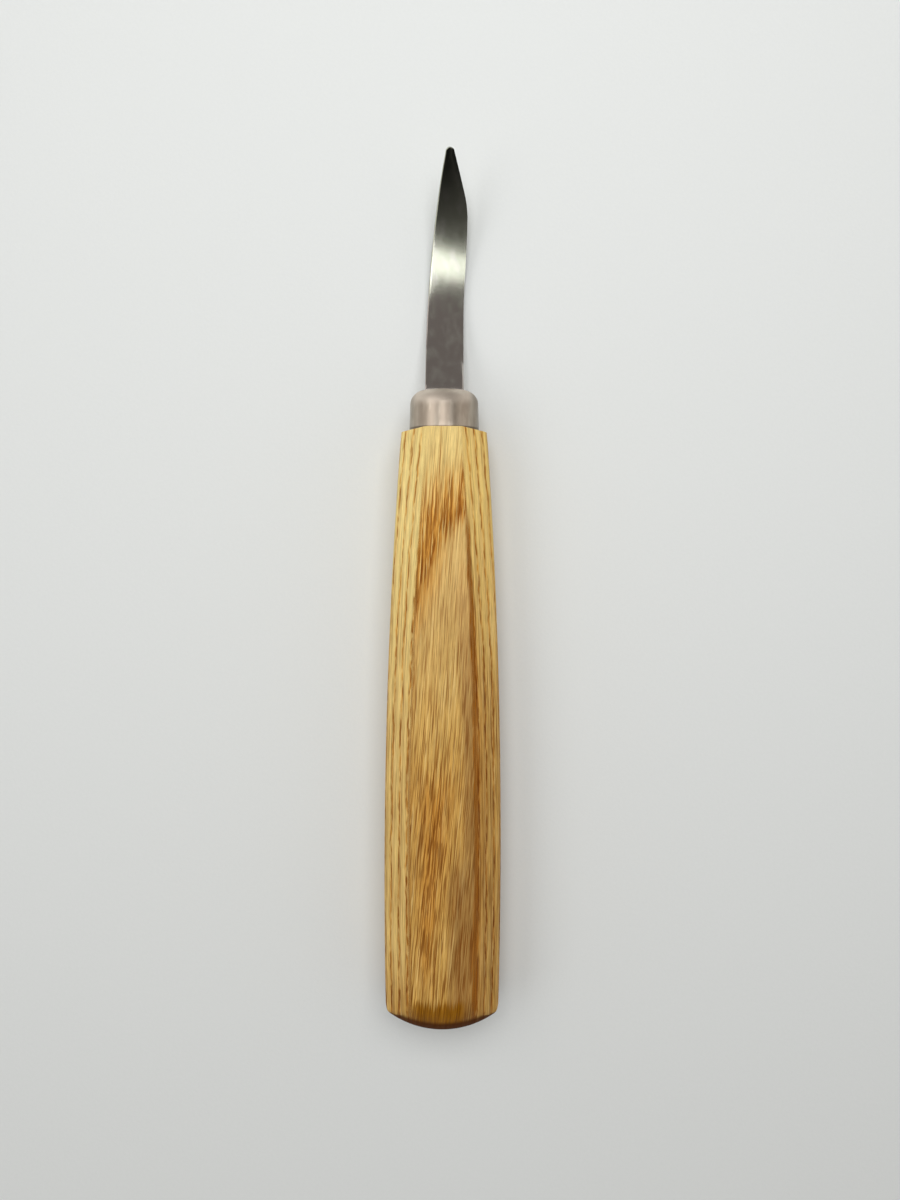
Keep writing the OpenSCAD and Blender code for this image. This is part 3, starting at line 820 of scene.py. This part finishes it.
def satin_nickel():
    """Drawn and tumbled ferrule metal, faintly clouded, with its rim painted lighter as a painted highlight,
    its sides and right side painted darker as painted shade, and painted shade at its foot.
    """
    paint = Paint("ferrule_metal")
    x, y = paint.x, paint.y
    grit = paint.speckle(9, 9)
    dents = paint.speckle(1.6, 1.6, 3, 0.6)
    worn = paint.speckle(0.6, 0.2).step(0.38, 0.62)
    rim = y.step(*NICKEL_RIM_HIGHLIGHT_Y)
    colour = paint.layered(
        NICKEL,
        (worn, NICKEL_WORN),
        # Painted highlight: the rim is painted lighter to stand in for a bright reflection
        (rim * 0.8, NICKEL_RIM_HIGHLIGHT),
        # Painted shade: the sides darker, the right side darker still, standing in for a reflection of the
        # shadowed floor
        (abs(x).step(*NICKEL_SIDE_SHADE_X) * 0.6, NICKEL_SIDE_SHADE),
        (x.step(*NICKEL_RIGHT_SHADE_X) * 0.5, NICKEL_RIGHT_SHADE),
        # Painted shade: a dark band at the foot, where the ferrule meets the wood
        (y.step(*JOINT_SHADE_Y) * 0.7, NICKEL_JOINT_SHADE),
    )
    paint.join({
        "Base Color": colour,
        "Metallic": 1.0,
        "Roughness": worn * -0.06 + grit * 0.1 + rim * 0.22 + 0.3,
    })
    paint.bump(grit * 0.3 + dents, NICKEL_RELIEF)
    return paint.material


RESIN_DARK, RESIN_PALE = (196, 168, 104), (222, 200, 146)
RESIN_RELIEF = 0.02


def cured_resin():
    """Pale adhesive round the tang, cloudy with small bubbles."""
    paint = Paint("resin")
    cloud = paint.speckle(0.8, 0.8, 3)
    bubbles = paint.speckle(4, 4, 1).step(0.62, 0.72)
    paint.join({
        "Base Color": paint.mix(cloud, RESIN_DARK, RESIN_PALE),
        "Roughness": bubbles * 0.2 + 0.35,
    })
    paint.bump(bubbles * -1.0 + cloud, RESIN_RELIEF)
    return paint.material


PAPER_DARK, PAPER_PALE = (219, 222, 221), (223, 226, 225)
PAPER_RELIEF = 0.02


def white_paper():
    """The floor: plain paper with a faint felt side."""
    paint = Paint("paper")
    felt = paint.noise(paint.x * 1.5, paint.y * 1.5, paint.z, 4, 0.6)
    paint.join({
        "Base Color": paint.mix(felt, PAPER_DARK, PAPER_PALE),
        "Roughness": felt * 0.1 + 0.8,
    })
    paint.bump(felt, PAPER_RELIEF)
    return paint.material


ash = ash_wood()
steel = polished_steel()
nickel = satin_nickel()
resin = cured_resin()
paper = white_paper()

handle = build_handle(ash)
ferrule = build_ferrule(nickel)
blade = build_blade(steel)
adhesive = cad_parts["tang_adhesive"]
adhesive.data.materials.clear()
adhesive.data.materials.append(resin)

for piece, node, slot in (
    (handle, "handle", "ash"),
    (ferrule, "ferrule", "ferrule_metal"),
    (blade, "blade", "blade_steel"),
):
    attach(piece, "root")
    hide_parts(node)

# Floor
FLOOR_HALF = 1500.0
FLOOR_CORNERS = [(-1, -1), (1, -1), (1, 1), (-1, 1)]
floor_points = [(x * FLOOR_HALF, y * FLOOR_HALF, 0) for x, y in FLOOR_CORNERS]
floor = new_mesh("floor", floor_points, [(0, 1, 2, 3)], paper)


# Light
def area_lamp(name, place, target, size, power, in_gloss=True, spin=0.0):
    """A soft lamp in metres and watts, turned by its spin round the line to its target."""
    lamp = bpy.data.lights.new(name, "AREA")
    lamp.shape, lamp.size, lamp.size_y, lamp.energy = "RECTANGLE", *size, power
    obj = bpy.data.objects.new(name, lamp)
    bpy.context.scene.collection.objects.link(obj)
    obj.location = place
    aim = (Vector(target) - Vector(place)).to_track_quat("-Z", "Y")
    obj.rotation_euler = (aim @ Quaternion((0, 0, 1), math.radians(spin))).to_euler()
    obj.visible_camera = False
    obj.visible_glossy = in_gloss


area_lamp("key", place=(-0.45, 0.17, 0.53), target=(0, 0.1, 0), size=(0.95, 0.3), power=1.38)
area_lamp("overhead", place=(0.06, -0.015, 0.8), target=(0, 0.06, 0), size=(0.6, 0.22), power=0.92, spin=-25)
area_lamp("fill", place=(0.03, 0.2, 0.36), target=(0.02, 0.05, 0), size=(0.3, 0.2), power=0.86, in_gloss=False)
area_lamp("strip", place=(-0.09, 0.136, 0.8), target=(0, 0.04, 0), size=(0.26, 0.16), power=0.44)

# Room: its colour, where each part of it begins and is full or how wide it is, and how bright that part is
ROOM_COLOUR = (1, 0.95, 0.9, 1)
ROOM_LEAST = 0.008
OVERHEAD, OVERHEAD_LIGHT = (-0.95, -0.05), 0.14
BEYOND, BEYOND_LIGHT = (0, 0.6), 0.09
RIGHT_WALL, RIGHT_WALL_LIGHT = (0.85, 0.22), 0.5
LEFT_WALL, LEFT_WALL_LIGHT = (-0.9, 0.25), 0.4


def room_light():
    """A dim room: dark behind the handle, lighter beyond the blade and at the sides."""
    world = bpy.data.worlds.new("room")
    bpy.context.scene.world = world
    world.use_nodes = True
    tree = world.node_tree
    background = tree.nodes["Background"]
    place = tree.nodes.new("ShaderNodeTexCoord")
    split = tree.nodes.new("ShaderNodeSeparateXYZ")
    tree.links.new(place.outputs["Generated"], split.inputs[0])
    side, ahead = (Wire(tree, split.outputs[axis]) for axis in ("X", "Y"))
    ends = ahead.step(*OVERHEAD) * OVERHEAD_LIGHT + ahead.step(*BEYOND) * BEYOND_LIGHT
    walls = side.bell(*RIGHT_WALL) * RIGHT_WALL_LIGHT + side.bell(*LEFT_WALL) * LEFT_WALL_LIGHT
    strength = ends + walls + ROOM_LEAST
    tree.links.new(strength.socket, background.inputs["Strength"])
    background.inputs["Color"].default_value = ROOM_COLOUR


room_light()

# Camera, straight above, as in the photograph
CAMERA_TURN = math.radians(0.21)
CAMERA_RIGHT, CAMERA_UP, CAMERA_HEIGHT = 1.25, 14.4, 184.0
FOCAL_PX, NADIR_PX, FRAME_H = 900.0, 517.0, 1200
SENSOR = 36.0
CLIP_START = 0.01
lens = bpy.data.cameras.new("camera")
lens.sensor_width = SENSOR
lens.lens = SENSOR * FOCAL_PX / FRAME_H
lens.shift_y = (NADIR_PX - FRAME_H / 2) / FRAME_H
lens.clip_start = CLIP_START
camera = bpy.data.objects.new("camera", lens)
bpy.context.scene.collection.objects.link(camera)
camera.location = (
    (CAMERA_RIGHT * math.cos(CAMERA_TURN) - CAMERA_UP * math.sin(CAMERA_TURN)) * MM,
    (CAMERA_RIGHT * math.sin(CAMERA_TURN) + CAMERA_UP * math.cos(CAMERA_TURN)) * MM,
    CAMERA_HEIGHT * MM,
)
camera.rotation_euler = (0, 0, CAMERA_TURN)
bpy.context.scene.camera = camera
bpy.context.scene.view_settings.view_transform = "Standard"
